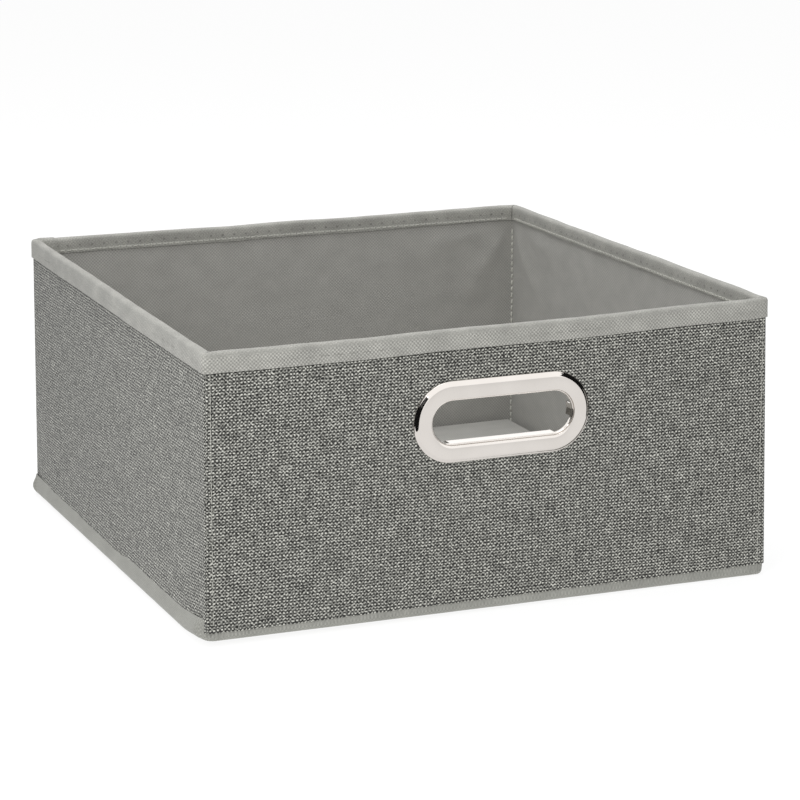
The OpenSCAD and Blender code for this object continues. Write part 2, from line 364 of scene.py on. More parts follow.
def put_group(tree, group, across, along):
    """One copy of a cloth pattern in a material; returns its outputs."""
    node = tree.nodes.new("ShaderNodeGroup")
    node.node_tree = group
    tree.links.new(across, node.inputs["Across"])
    tree.links.new(along, node.inputs["Along"])
    return node.outputs


# The weave: crosswise yarns that pass over and under the upright ones, a little unevenly. Its first
# output is the yarn tone from the flecks, slubs and streaks plus painted light: the lattice of yarns
# and gaps adds painted shade in the gaps and painted highlights on the yarns.
weave, given, result = new_group("melange_weave", ("Across", "Along"), ("Light", "Height"))
across, along = given["Across"], given["Along"]
sway = calculate(weave, "SUBTRACT", patches(weave, across, along, (7 * MM, 3 * MM), seed=1.0), 0.5)
creep = calculate(weave, "SUBTRACT", patches(weave, across, along, (3 * MM, 7 * MM), seed=2.0), 0.5)
yarn_x = calculate(weave, "ADD", across, calculate(weave, "MULTIPLY", creep, 1.3 * MM))
yarn_y = calculate(weave, "ADD", along, calculate(weave, "MULTIPLY", sway, 1.1 * MM))
weft = wave(weave, "COSINE", yarn_y, WEFT_PITCH)
warp = wave(weave, "COSINE", yarn_x, WARP_PITCH)
over_under = calculate(weave, "MULTIPLY",
                       wave(weave, "SINE", yarn_x, 2 * WARP_PITCH),
                       wave(weave, "SINE", yarn_y, 2 * WEFT_PITCH))
crossing = calculate(weave, "MULTIPLY", weft, warp)
# The dot lattice follows the gaps between the yarns. In the colour it is painted shade in the gaps and a
# painted highlight between them, and it also raises the surface.
pressed = put_group(weave, dots, yarn_x, yarn_y)["Raised"]
fleck = calculate(weave, "SUBTRACT", patches(weave, across, along, (0.9 * MM, 0.9 * MM), 2.0, 4.0), 0.5)
slub = calculate(weave, "SUBTRACT", patches(weave, across, along, (9 * MM, 1.5 * MM), 1.0, 5.0), 0.5)
streak = calculate(weave, "SUBTRACT", patches(weave, across, along, (1.8 * MM, 12 * MM), 1.0, 6.0), 0.5)
light = weighted_sum(weave, ((pressed, 0.36), (weft, 0.21), (over_under, 0.16), (warp, 0.08),
                             (crossing, 0.06), (fleck, 1.2), (slub, 0.35), (streak, 0.4)))
height = weighted_sum(weave, ((pressed, 0.25), (weft, 0.25), (over_under, 0.3), (fleck, 0.3)))
weave.links.new(calculate(weave, "ADD", light, 0.5), result["Light"])
weave.links.new(calculate(weave, "ADD", height, 0.5), result["Height"])


def flat_cloth_place(tree):
    """The two sockets that give the place on the flat cloth, in metres."""
    uv = tree.nodes.new("ShaderNodeUVMap")
    split = tree.nodes.new("ShaderNodeSeparateXYZ")
    tree.links.new(uv.outputs["UV"], split.inputs[0])
    return split.outputs[0], split.outputs[1]


WARM = (1.0, 1.0, 0.91)


def grey(level, tint=WARM):
    """A cloth grey from its level as the eye sees it, 0 to 1, times a tint."""
    linear = ((level + 0.055) / 1.055) ** 2.4
    return (linear * tint[0], linear * tint[1], linear * tint[2], 1)


def shade_with(tree, shader, factor, stops):
    """Colours the shader by a socket, through a ramp of (position, colour) stops."""
    ramp = tree.nodes.new("ShaderNodeValToRGB")
    elements = ramp.color_ramp.elements
    elements[0].position, elements[0].color = stops[0]
    elements[1].position, elements[1].color = stops[-1]
    for position, colour in stops[1:-1]:
        elements.new(position).color = colour
    tree.links.new(factor, ramp.inputs["Fac"])
    tree.links.new(ramp.outputs["Color"], shader.inputs["Base Color"])


def emboss_with(tree, shader, height, depth):
    """Raises the surface by a socket from 0 to 1, to the given depth."""
    bump = tree.nodes.new("ShaderNodeBump")
    bump.inputs["Strength"].default_value = 1.0
    bump.inputs["Distance"].default_value = depth
    tree.links.new(height, bump.inputs["Height"])
    tree.links.new(bump.outputs["Normal"], shader.inputs["Normal"])


woven, tree, shader = make_material("melange_cloth", 0.92)
shader.inputs["Sheen Weight"].default_value = 0.15
shader.inputs["Sheen Roughness"].default_value = 0.5
across, along = flat_cloth_place(tree)
pattern = put_group(tree, weave, across, along)
# The ramp runs from near black, the painted shade in the gaps, up to the painted highlights on the yarns.
shade_with(tree, shader, pattern["Light"],
           [(0.0, grey(0.03)), (0.25, grey(0.19)), (0.5, grey(0.40)), (0.75, grey(0.62)),
            (1.0, grey(0.90))])
emboss_with(tree, shader, pattern["Height"], 0.35 * MM)


def finish_piece(piece, body, nodes, material):
    """Gives a piece its material and its place in the model."""
    piece.data.materials.clear()
    piece.data.materials.append(material)
    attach(piece, body)
    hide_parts(*nodes)


FOLD_FLARE = 1.4 * MM
FLARE_HEIGHT = 70 * MM
SIDE_LEAN = 1.9
RIGHT_LEAN = 0.9
EDGE_HANG = 0.9
LEFT_EDGE_HANG = 1.9


def side_flare(side, share, z):
    """How far the foot of a side wall stands out, most at its fold line in the middle."""
    if SIDES[side] in ("front", "back"):
        return 0.0
    return FOLD_FLARE * (1 - share ** 4) * (1 - ease(z / FLARE_HEIGHT))


def lean_out(point, z):
    """How far the side walls lean out towards the foot, the right one more than the left."""
    right = point.x / HALF[0]
    return Vector((right * (SIDE_LEAN + RIGHT_LEAN * right) * MM * (1 - z / rim_low.z), 0, 0))


def lower_edge(point):
    """How far the lower edge of the outer cloth hangs below its right place."""
    left, front = plan_share(point)
    return MM * (EDGE_HANG * (1 - front) + (EDGE_HANG + LEFT_EDGE_HANG * left) * front)


def outer_face(side, share, turn, z):
    """A point on the outside of the outer cloth."""
    point, outward = on_wall(side, share, turn, TAPE_THICK, CORNER_RADIUS)
    held = ease((1 - abs(share)) / 0.12) * ease((rim_low.z + 2 * MM - z) / (18 * MM))
    swell = 0.3 * MM * (1 + soft(point.x, point.y, z, 45 * MM)) * held
    lift = swell + side_flare(side, share, z)
    z -= lower_edge(point) * (1 - ease(z / (60 * MM)))
    return settle(point + outward * lift + lean_out(point, z) + UP * z)


def wall_columns(side, corner_steps, flat_steps):
    """Places along one wall, from the middle of one corner to the middle of the next."""
    half_corner = math.pi / 4
    return ([(side, -1, turn) for turn in steps(-half_corner, 0, corner_steps)[:-1]]
            + [(side, share, 0) for share in steps(-1, 1, flat_steps)]
            + [(side, 1, turn) for turn in steps(0, half_corner, corner_steps)[1:]])


handle_low, handle_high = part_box("handle_bezel")
handle_x = (handle_low.x + handle_high.x) / 2
handle_z = (handle_low.z + handle_high.z) / 2
HANDLE_LENGTH = handle_high.x - handle_low.x
HANDLE_HEIGHT = handle_high.z - handle_low.z
ROUND_STEPS = 96
HOLE_MARGIN = 16.5 * MM


def oblong_disc(name, length, height, y):
    """A flat face with round ends, upright, facing the front at the height of the handle."""
    half_step = math.pi / ROUND_STEPS
    bpy.ops.mesh.primitive_circle_add(vertices=ROUND_STEPS, radius=height / 2, fill_type="NGON",
                                      location=(handle_x, y, handle_z),
                                      rotation=(math.pi / 2, half_step, 0))
    disc = bpy.context.object
    disc.name = name
    bpy.ops.object.transform_apply(location=True, rotation=True, scale=True)
    bpy.ops.object.mode_set(mode="EDIT")
    for way in (-1, 1):
        bpy.ops.mesh.select_all(action="DESELECT")
        bpy.ops.object.mode_set(mode="OBJECT")
        for corner in disc.data.vertices:
            corner.select = (corner.co.x - handle_x) * way > 0
        bpy.ops.object.mode_set(mode="EDIT")
        bpy.ops.transform.translate(value=(way * (length - height) / 2, 0, 0))
    bpy.ops.mesh.select_all(action="SELECT")
    bpy.ops.object.mode_set(mode="OBJECT")
    return disc


def extrude(x, y, z):
    """Extrudes what is chosen by a distance along each axis."""
    bpy.ops.mesh.extrude_region_move(TRANSFORM_OT_translate={"value": (x, y, z)})


def cut_handle_hole(piece):
    """Cuts the hole for the handle's collar through a sheet of the front wall."""
    cutter = oblong_disc("hole_cutter", HANDLE_LENGTH - HOLE_MARGIN, HANDLE_HEIGHT - HOLE_MARGIN,
                         cloth_low.y - 5 * MM)
    bpy.ops.object.mode_set(mode="EDIT")
    extrude(0, 15 * MM, 0)
    bpy.ops.mesh.select_all(action="SELECT")
    bpy.ops.mesh.normals_make_consistent(inside=False)
    bpy.ops.object.mode_set(mode="OBJECT")
    bpy.ops.object.select_all(action="DESELECT")
    bpy.context.view_layer.objects.active = piece
    piece.select_set(True)
    hole = piece.modifiers.new("hole", "BOOLEAN")
    hole.object = cutter
    hole.operation = "DIFFERENCE"
    bpy.ops.object.modifier_apply(modifier=hole.name)
    bpy.data.objects.remove(cutter)


CLOTH_ROWS = steps(cloth_low.z, cloth_high.z, 58)
for side, word in enumerate(SIDES):
    panel = lay_cloth(word + "_cloth", wall_columns(side, 4, 120), CLOTH_ROWS,
                      lambda column, z: outer_face(*column, z), CLOTH_THICK)
    if word == "front":
        cut_handle_hole(panel)
    finish_piece(panel, "bin", ["outer_cloth_" + word], woven)


# The lining is a thin grey non-woven, one panel for each wall. It is a little loose over the
# boards, and near the corners it is pulled into soft folds by the seam.
LINING_THICK = 0.5 * MM
LINING_CORNER = 0.6 * MM
board_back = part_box("front_board")[1].y
LINING_INSET = board_back - rim_low.y + LINING_THICK
lining_low, lining_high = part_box("lining_front")


def nonwoven(name, level, contrast, press, depth, tint=WARM, pressed_width=1.0):
    """A pressed non-woven cloth. level is its grey, contrast how uneven it is, press how strong
    its dots are, depth how deep they are and pressed_width how much of its width they cover in
    full, in metres. Returns the material, its node tree and its shader."""
    material, tree, shader = make_material(name, 0.9)
    shader.inputs["Sheen Weight"].default_value = 0.15
    shader.inputs["Sheen Roughness"].default_value = 0.6
    across, along = flat_cloth_place(tree)
    raised = put_group(tree, dots, across, along)["Raised"]
    fibres = calculate(tree, "SUBTRACT", patches(tree, across, along, (0.8 * MM, 0.6 * MM), 2.0, 7.0), 0.5)
    cloud = calculate(tree, "SUBTRACT", patches(tree, across, along, (14 * MM, 11 * MM), 2.0, 8.0), 0.5)
    strength = calculate(tree, "ADD", patches(tree, across, along, (22 * MM, 22 * MM), 1.0, 9.0), 0.5)
    covered = calculate(tree, "MULTIPLY", calculate(tree, "SUBTRACT", pressed_width, along), 1 / MM)
    covered.node.use_clamp = True
    fade = calculate(tree, "ADD", calculate(tree, "MULTIPLY", covered, 0.7), 0.3)
    strength = calculate(tree, "MULTIPLY", strength, fade)
    shown = calculate(tree, "MULTIPLY", raised, strength)
    light = calculate(tree, "ADD", weighted_sum(tree, ((shown, press), (fibres, 0.7), (cloud, 0.4))), 0.5)
    shade_with(tree, shader, light,
               [(0.0, grey(level - contrast, tint)), (0.5, grey(level, tint)),
                (1.0, grey(level + contrast, tint))])
    emboss_with(tree, shader, light, depth)
    return material, tree, shader


LINING_TINT = (1.015, 1.0, 0.94)
lining_cloth = nonwoven("lining_cloth", 0.645, 0.10, 0.34, 0.06 * MM, LINING_TINT)[0]


def lining_face(side, share, turn, z):
    """A point on the face of the lining, towards the inside of the bin."""
    point, outward = on_wall(side, share, turn, LINING_INSET, LINING_CORNER)
    flat = HALF[side % 2] - LINING_INSET
    held = ease((1 - abs(share)) * flat / (9 * MM)) * ease((lining_high.z - 7 * MM - z) / (12 * MM))
    held *= ease((z - 6 * MM) / (25 * MM))
    loose = 0.35 * MM * (1 + soft(point.x, point.y, z * 0.5 + 0.3, 38 * MM))
    folds = 0.0
    for end in (-1, 1):
        out = (1 - share * end) * flat
        down = lining_high.z - z
        reach = math.hypot(out, down)
        angle = math.atan2(down, out + 2 * MM)
        turn_noise = 0.9 * soft(side, out, down, 55 * MM)
        fan = 0.5 + 0.5 * math.cos(10 * angle + 1.7 * side + end + turn_noise)
        folds += 0.9 * MM * fan * fan * math.exp(-((reach - 38 * MM) / (26 * MM)) ** 2)
    return settle(point - outward * (loose + folds) * held + Vector((0, 0, z)))


LINING_ROWS = steps(lining_low.z, lining_high.z, 62)
for side, word in enumerate(SIDES):
    columns = wall_columns(side, 2, 150)[::-1]
    panel = lay_cloth(word + "_lining", columns, LINING_ROWS,
                      lambda column, z: lining_face(*column, z), LINING_THICK)
    if word == "front":
        cut_handle_hole(panel)
    finish_piece(panel, "bin", ["lining_" + word], lining_cloth)


# The thread is light grey and spun. A stitch is a short length of it that dips into the cloth
# at both ends; each seam is one row of stitches.
thread_paint, tree, shader = make_material("spun_thread", 0.75)
shader.inputs["Sheen Weight"].default_value = 0.3
place = tree.nodes.new("ShaderNodeTexCoord")
twist = tree.nodes.new("ShaderNodeTexWave")
twist.bands_direction = "DIAGONAL"
twist.inputs["Scale"].default_value = 1400
twist.inputs["Distortion"].default_value = 2
tree.links.new(place.outputs["Object"], twist.inputs["Vector"])
shade_with(tree, shader, twist.outputs["Fac"], [(0.0, grey(0.74)), (1.0, grey(0.92))])
emboss_with(tree, shader, twist.outputs["Fac"], 0.06 * MM)


def make_stitch(length, thick):
    """One stitch along X, lying on the XY plane, with both ends dipping below it."""
    bpy.ops.mesh.primitive_cylinder_add(vertices=8, radius=thick / 2, depth=length,
                                        end_fill_type="TRIFAN", rotation=(0, math.pi / 2, 0))
    stitch = bpy.context.object
    bpy.ops.object.transform_apply(rotation=True)
    for cut in (-0.42, -0.2, 0.2, 0.42):
        bpy.ops.object.mode_set(mode="EDIT")
        bpy.ops.mesh.select_all(action="SELECT")
        bpy.ops.mesh.bisect(plane_co=(cut * length, 0, 0), plane_no=(1, 0, 0))
        bpy.ops.object.mode_set(mode="OBJECT")
    for corner in stitch.data.vertices:
        end = abs(corner.co.x) / (length / 2)
        narrow = 1 - 0.35 * end ** 6
        corner.co.y *= narrow
        corner.co.z = corner.co.z * narrow * 0.8 + thick * (0.28 - 0.75 * end ** 5)
    bpy.ops.object.shade_smooth()
    return stitch


def sew(name, stitch, places):
    """A row of stitches: one copy of the stitch at each place, joined into one piece."""
    copies = []
    for spot in places:
        copy = stitch.copy()
        copy.data = stitch.data.copy()
        copy.data.transform(spot)
        bpy.context.scene.collection.objects.link(copy)
        copies.append(copy)
    bpy.data.objects.remove(stitch)
    bpy.ops.object.select_all(action="DESELECT")
    for copy in copies:
        copy.select_set(True)
    bpy.context.view_layer.objects.active = copies[0]
    bpy.ops.object.join()
    copies[0].name = name
    return copies[0]


def stitch_place(centre, run, out):
    """Where a stitch goes: its middle, the way it runs and the way the cloth faces."""
    run, out = run.normalized(), out.normalized()
    return Matrix.Translation(centre) @ Matrix((run, out.cross(run), out)).transposed().to_4x4()


# The upright corner seams show outside on the front and back walls, close to the corner, and
# inside as a line of light stitches in the corner itself.
CORNER_PITCH = 4 * MM
OUTSIDE_THREAD = 0.42 * MM
INSIDE_THREAD = 1.0 * MM
THREAD_INSET = (0.25 * MM, 0.30 * MM)
THREAD_SUNK = 0.4 * MM
corner_seam_paint, tree, shader = make_material("grey_thread", 0.8)
shader.inputs["Base Color"].default_value = grey(0.74)
for across_word, sx in (("left", -1), ("right", 1)):
    for depth_word, sy in (("front", -1), ("back", 1)):
        node = f"corner_thread_{depth_word}_{across_word}"
        low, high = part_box(node)
        seam_out = Vector((0, sy, 0))
        outside_x = low.x + THREAD_INSET[0] if sx < 0 else high.x - THREAD_INSET[0]
        outside_y = low.y + THREAD_INSET[1] if sy < 0 else high.y - THREAD_INSET[1]
        inside = Vector((sx * (HALF[0] - LINING_INSET - THREAD_SUNK),
                         sy * (HALF[1] - LINING_INSET - THREAD_SUNK), 0))
        count = int((high.z - low.z) / CORNER_PITCH)
        outer_places = []
        inner_places = []
        for i in range(count):
            z = low.z + (i + 0.5) * CORNER_PITCH
            outer_places.append(stitch_place(settle(Vector((outside_x, outside_y, z))), UP, seam_out))
            if z < high.z - 3 * MM:
                inner_places.append(stitch_place(settle(inside + UP * z), UP, Vector((-sx, -sy, 0))))
        seam = sew(f"outside_seam_{depth_word}_{across_word}", make_stitch(3.0 * MM, OUTSIDE_THREAD),
                   outer_places)
        finish_piece(seam, "bin", [], corner_seam_paint)
        seam = sew(f"inside_seam_{depth_word}_{across_word}", make_stitch(3.1 * MM, INSIDE_THREAD),
                   inner_places)
        finish_piece(seam, "bin", [node], thread_paint)


# The rim tape is a light non-woven strip folded over the top edges of the walls. It goes once
# round the bin and laps over its own start on the back wall, and one seam holds both legs.
TAPE_SHEET = 0.5 * MM
INSIDE_LEG = 8.5 * MM
NEEDLE_DROP = 6.3 * MM
CHAIN_DROP = 7.3 * MM
STITCH_PITCH = 7.4 * MM
fold_radius = (LINING_INSET + TAPE_THICK) / 2
fold_z = rim_high.z - fold_radius
outside_leg = fold_z - rim_low.z
fold_length = math.pi * fold_radius
inside_leg = fold_z - rim_high.z + INSIDE_LEG
TAPE_WIDTH = outside_leg + fold_length + inside_leg
needle_line = outside_leg + fold_length + fold_z - (rim_high.z - NEEDLE_DROP)
FOLD_SQUARE = 0.6
LAP_START = 0.142
LAP_END = 0.149
TAPE_CORNER = CORNER_RADIUS + TAPE_THICK


def tape_columns():
    """Places all the way round the rim, from one end of the tape to the other."""
    quarter = math.pi / 2
    flat = HALF[0] - TAPE_CORNER
    found = [(2, share, 0) for share in steps(LAP_START / flat, 1, 9)]
    for side in (3, 0, 1, 2):
        found += [((side + 3) % 4, 1, turn) for turn in steps(0, quarter, 8)[1:-1]]
        last = LAP_END / flat if side == 2 else 1
        found += [(side, share, 0) for share in steps(-1, last, 200)]
    lengths = [0.0]
    for before, after in zip(found, found[1:]):
        gap = on_wall(*after, 0, TAPE_CORNER)[0] - on_wall(*before, 0, TAPE_CORNER)[0]
        lengths.append(lengths[-1] + gap.length)
    return [(*column, length) for column, length in zip(found, lengths)]


def tape_face(column, v):
    """A point on the outside of the tape: v is the distance across it from its outside edge."""
    side, share, turn, run = column
    if v < outside_leg:
        lean, inset, z = 0.0, 0.0, rim_low.z + v
    elif v < outside_leg + fold_length:
        lean = (v - outside_leg) / fold_radius
        out = math.copysign(abs(math.cos(lean)) ** FOLD_SQUARE, math.cos(lean))
        inset, z = fold_radius * (1 - out), fold_z + fold_radius * math.sin(lean) ** FOLD_SQUARE
    else:
        lean, inset, z = math.pi, 2 * fold_radius, fold_z - (v - outside_leg - fold_length)
    point, outward = on_wall(side, share, turn, inset, max(TAPE_CORNER - inset, LINING_CORNER))
    facing = outward * math.cos(lean) + UP * math.sin(lean)
    flat = ease((1 - abs(share)) / 0.06)
    lift = 0.20 * MM + 0.10 * MM * soft(run, v, 1, 14 * MM)
    off = (v - needle_line) / (1.1 * MM)
    lift -= 0.22 * MM * math.exp(-off * off) * (0.7 + 0.3 * math.cos(2 * math.pi * run / STITCH_PITCH))
    edge = min(v, TAPE_WIDTH - v) / (2.5 * MM)
    lift += 0.12 * MM * math.exp(-edge * edge) * (1 + soft(run, 5, 2, 9 * MM))
    past_lap = LAP_END - LAP_START + 3 * MM
    if run < past_lap:
        lift += (TAPE_SHEET + 0.02 * MM) * ease((past_lap - run) / (2 * MM))
    sway = outward * 0.25 * MM * soft(run, 9, 3, 60 * MM) * flat
    dip = UP * (0.35 * MM * soft(run, 2, 7, 45 * MM) - 0.1 * MM) * flat
    return settle(point + facing * lift + sway + dip + UP * z)


tape_cloth, tree, shader = nonwoven("tape_cloth", 0.62, 0.24, 0.25, 0.14 * MM, (1.01, 1.0, 0.92),
                                    outside_leg + 0.5 * MM)
across, along = flat_cloth_place(tree)
# Painted shade: the tape is darkened towards near black at each needle hole on the seam line, unevenly, and
# in a narrow band at the middle of each corner on its inside half, where the tape creases.
needle_hole_shade = calculate(tree, "SUBTRACT", wave(tree, "COSINE", across, STITCH_PITCH), 0.80)
needle_hole_shade = calculate(tree, "MULTIPLY", needle_hole_shade, 10.0)
needle_hole_shade.node.use_clamp = True
off_line = calculate(tree, "ABSOLUTE", calculate(tree, "SUBTRACT", along, needle_line))
on_line = calculate(tree, "SUBTRACT", 1.4, calculate(tree, "DIVIDE", off_line, 0.6 * MM))
on_line.node.use_clamp = True
uneven = calculate(tree, "SUBTRACT", patches(tree, across, along, (30 * MM, 1), 1.0, 11.0), 0.15)
hole = calculate(tree, "MULTIPLY", calculate(tree, "MULTIPLY", needle_hole_shade, on_line), uneven)
columns = tape_columns()
mid_corners = [column[3] for column in columns if 0.6 < column[2] < 1.0]
inside_half = calculate(tree, "GREATER_THAN", along, outside_leg + fold_length / 2)
for crease_run in mid_corners:
    off = calculate(tree, "ABSOLUTE", calculate(tree, "SUBTRACT", across, crease_run))
    crease_shade = calculate(tree, "MULTIPLY", calculate(tree, "LESS_THAN", off, 1.3 * MM), inside_half)
    hole = calculate(tree, "MAXIMUM", hole, calculate(tree, "MULTIPLY", crease_shade, 0.75))
# The painted shade of the holes and creases is mixed into the tape's colour here.
painted_shade_mix = tree.nodes.new("ShaderNodeMix")
painted_shade_mix.data_type = "RGBA"
cloth_colour = shader.inputs["Base Color"].links[0].from_socket
tree.links.new(hole, painted_shade_mix.inputs["Factor"])
tree.links.new(cloth_colour, painted_shade_mix.inputs["A"])
painted_shade_mix.inputs["B"].default_value = grey(0.12)
tree.links.new(painted_shade_mix.outputs["Result"], shader.inputs["Base Color"])

tape_rows = (steps(0, outside_leg, 12)[:-1]
             + steps(outside_leg, outside_leg + fold_length, 12)[:-1]
             + steps(outside_leg + fold_length, TAPE_WIDTH, 14))
tape = lay_cloth("rim_tape", columns, tape_rows, tape_face, TAPE_SHEET,
                 [column[3] for column in columns])
finish_piece(tape, "bin", ["rim_binding"], tape_cloth)


# The rim seam shows inside as a chain of light loops just under the needle holes, and outside
# as a row of short stitches of the tape's own grey that are sunk into it.
def along_rim(pitch):
    """Places round the rim at an even pitch, on the flat of each wall."""
    found = []
    for side in range(4):
        flat = HALF[side % 2] - TAPE_CORNER - 3 * MM
        count = int(2 * flat / pitch)
        found += [(side, ((i + 0.5) / count * 2 - 1) * flat / (flat + 3 * MM)) for i in range(count)]
    return found


places = []
for side, share in along_rim(STITCH_PITCH):
    point, outward = on_wall(side, share, 0, 0, TAPE_CORNER)
    centre = settle(point + outward * 0.16 * MM + UP * (rim_high.z - NEEDLE_DROP))
    places.append(stitch_place(centre, UP.cross(outward), outward))
outside_row = sew("rim_seam_outside", make_stitch(4.5 * MM, 0.22 * MM), places)
places = []
for side, share in along_rim(STITCH_PITCH / 2):
    point, outward = on_wall(side, share, 0, 2 * fold_radius, LINING_CORNER)
    run = UP.cross(outward)
    centre = settle(point - outward * 0.3 * MM + UP * (rim_high.z - CHAIN_DROP))
    for lean in (-0.3, 0.3):
        places.append(stitch_place(centre, run + UP * lean, -outward))
inside_row = sew("rim_seam_inside", make_stitch(3.3 * MM, 0.6 * MM), places)
finish_piece(outside_row, "bin", [], tape_cloth)
finish_piece(inside_row, "bin", ["rim_thread"], corner_seam_paint)


# The base cloth is a light non-woven that covers the underside and turns up round the foot of
# the walls. It is sewn to the outer cloth, and it is gathered into small pleats at the corners.
BASE_SHEET = 0.5 * MM
BASE_RADIUS = 5 * MM
BASE_INSET = TAPE_THICK + 0.3 * MM
BASE_CORNER = 5 * MM
UNDER_HEM = 18 * MM
base_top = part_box("base_cloth")[1].z + 0.2 * MM
upright = base_top - BASE_RADIUS
bend = BASE_RADIUS * math.pi / 2
BASE_WIDTH = upright + bend + UNDER_HEM


def base_columns():
    """Places all the way round the foot, close together at the corners."""
    found = []
    for side in range(4):
        flat = HALF[side % 2] - BASE_INSET - BASE_CORNER
        near = 1 - 14 * MM / flat
        found += [(side, share, 0) for share in
                  steps(-1, -near, 24)[:-1] + steps(-near, near, 90)[:-1] + steps(near, 1, 24)]
        found += [(side, 1, turn) for turn in steps(0, math.pi / 2, 20)[1:-1]]
    return found + [(0, -1, 0)]


def base_face(column, v):
    """A point on the outside of the base cloth: v is the distance down from its upper edge."""
    side, share, turn = column
    if v < upright:
        lean, inset, z = 0.0, 0.0, base_top - v
    elif v < upright + bend:
        lean = (v - upright) / BASE_RADIUS
        foot = on_wall(side, share, turn, BASE_INSET, BASE_CORNER)[0]
        at_front = 1 - ease((foot.y + HALF[1]) / (10 * MM))
        square = 1 - 0.72 * at_front
        inset = BASE_RADIUS * (1 - max(math.cos(lean), 0) ** square)
        z = BASE_RADIUS * (1 - max(math.sin(lean), 0) ** square)
    else:
        lean, inset, z = math.pi / 2, BASE_RADIUS + v - upright - bend, 0.0
    corner = max(BASE_CORNER - inset, 0.4 * MM)
    point, outward = on_wall(side, share, turn, BASE_INSET + inset, corner)
    down = ease((base_top - z) / (6 * MM))
    hem = 1 - ease((v - upright - bend) / UNDER_HEM)
    behind_front = point.y + HALF[1]
    before_back = HALF[1] - point.y
    beside = math.copysign(ease((abs(point.x) - HALF[0] + 40 * MM) / (30 * MM)), point.x)
    flare = beside * ease(behind_front / (11 * MM)) * ease((before_back + 3 * MM) / (6 * MM))
    flare *= (1.6 * MM + 1.9 * MM * down) * hem * (1 if flare < 0 else 0.3)
    flat = HALF[side % 2] - BASE_INSET - BASE_CORNER
    from_corner = (1 - abs(share)) * flat
    if turn > 0:
        from_corner = 0
        wound = turn * BASE_CORNER
    else:
        wound = from_corner if share < 0 else -from_corner
    pleat = 0.3 * MM * math.sin(2 * math.pi * wound / (1.5 * MM)) * math.exp(-(from_corner / (7 * MM)) ** 2)
    facing = outward * math.cos(lean) - UP * math.sin(lean)
    lift = (pleat * (0.4 + 0.6 * down) + 0.12 * MM * soft(point.x, point.y, z, 12 * MM)) * math.cos(lean) ** 2
    return settle(point + lean_out(point, z) + Vector((flare, 0, 0)) + facing * lift + UP * z)


def weld():
    """Joins the knots of a cloth that lie on each other, and leaves it open for more work."""
    bpy.ops.object.mode_set(mode="EDIT")
    bpy.ops.mesh.select_all(action="SELECT")
    bpy.ops.mesh.remove_doubles(threshold=0.01 * MM)


base_cloth = nonwoven("base_cloth", 0.60, 0.12, 0.20, 0.10 * MM)[0]
base_rows = (steps(0, upright, 4)[:-1] + steps(upright, upright + bend, 12)[:-1]
             + steps(upright + bend, BASE_WIDTH, 6))
base = lay_cloth("base_tray", base_columns()[::-1], base_rows, base_face, 0)
weld()
bpy.ops.mesh.select_all(action="DESELECT")
bpy.ops.object.mode_set(mode="OBJECT")
inner = HALF[0] - BASE_INSET - BASE_RADIUS - UNDER_HEM + 0.2 * MM
for edge in base.data.edges:
    ends = [base.data.vertices[i].co for i in edge.vertices]
    edge.select = all(max(abs(p.x), abs(p.y)) < inner for p in ends)
bpy.ops.object.mode_set(mode="EDIT")
bpy.ops.mesh.select_mode(type="EDGE")
bpy.ops.mesh.edge_face_add()
bpy.ops.mesh.select_all(action="SELECT")
bpy.ops.mesh.normals_make_consistent(inside=False)
bpy.ops.object.mode_set(mode="OBJECT")
thicken(base, BASE_SHEET)
finish_piece(base, "bin", ["base_cloth"], base_cloth)
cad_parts["base_seam_thread"].material_slots[0].material = thread_paint


# The hem of the base cloth is its seam allowance, rolled up inside the foot of the walls on the
# thread of the base seam. It is the same non-woven, and the insert rests on it.
HEM_WIDE = 8.6 * MM
HEM_LOW = 1.6 * MM
HEM_GAP = 0.6 * MM
HEM_FULL = 0.6
hem_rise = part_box("insert_cover_bottom")[0].z - HEM_GAP - HEM_LOW


def hem_face(column, around):
    """A point on the rolled hem: around goes once round its section, from 0 to 1."""
    side, share, turn = column
    angle = 2 * math.pi * around
    across = math.copysign(abs(math.cos(angle)) ** HEM_FULL, math.cos(angle)) * HEM_WIDE / 2
    up = math.copysign(abs(math.sin(angle)) ** HEM_FULL, math.sin(angle)) * hem_rise / 2
    inset = LINING_INSET + 0.9 * MM + HEM_WIDE / 2 + across
    point, outward = on_wall(side, share, turn, inset, 0.5 * MM)
    wobble = 0.25 * MM * soft(point.x, point.y, up * 3, 16 * MM)
    rise = foot_rise(point) * MM * (0.5 - up / hem_rise)
    return point + outward * wobble + UP * (HEM_LOW + hem_rise / 2 + up + rise)


hem_columns = []
for side in range(4):
    hem_columns += [(side, share, 0) for share in steps(-1, 1, 110)]
    hem_columns.append((side, 1, math.pi / 4))
hem_columns.append((0, -1, 0))
hem_roll = lay_cloth("base_hem_roll", hem_columns, steps(0, 1, 20), hem_face, 0)
weld()
bpy.ops.mesh.normals_make_consistent(inside=False)
bpy.ops.object.mode_set(mode="OBJECT")
thicken(hem_roll, BASE_SHEET)
finish_piece(hem_roll, "bin", ["base_cloth"], base_cloth)


# The base insert is a loose board in a cloth cover. The top cover comes down over the edges of
# the board to a flat hem, where it is sewn to the bottom cover.
COVER_SHEET = 0.45 * MM
CORNER_LOOSE = 1.8 * MM
hem_low, hem_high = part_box("insert_cover_bottom")
cover_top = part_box("insert_cover_top")[1].z
hem_width = hem_high.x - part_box("insert_board")[1].x
hem_top = hem_high.z + COVER_SHEET
insert_cloth = nonwoven("insert_cloth", 0.645, 0.10, 0.20, 0.06 * MM, LINING_TINT)[0]


def edge_steps(half):
    """Places across the insert from edge to edge, close together over the hem."""
    near = half - 6 * MM
    return steps(-half, -near, 16)[:-1] + steps(-near, near, 90)[:-1] + steps(near, half, 16)


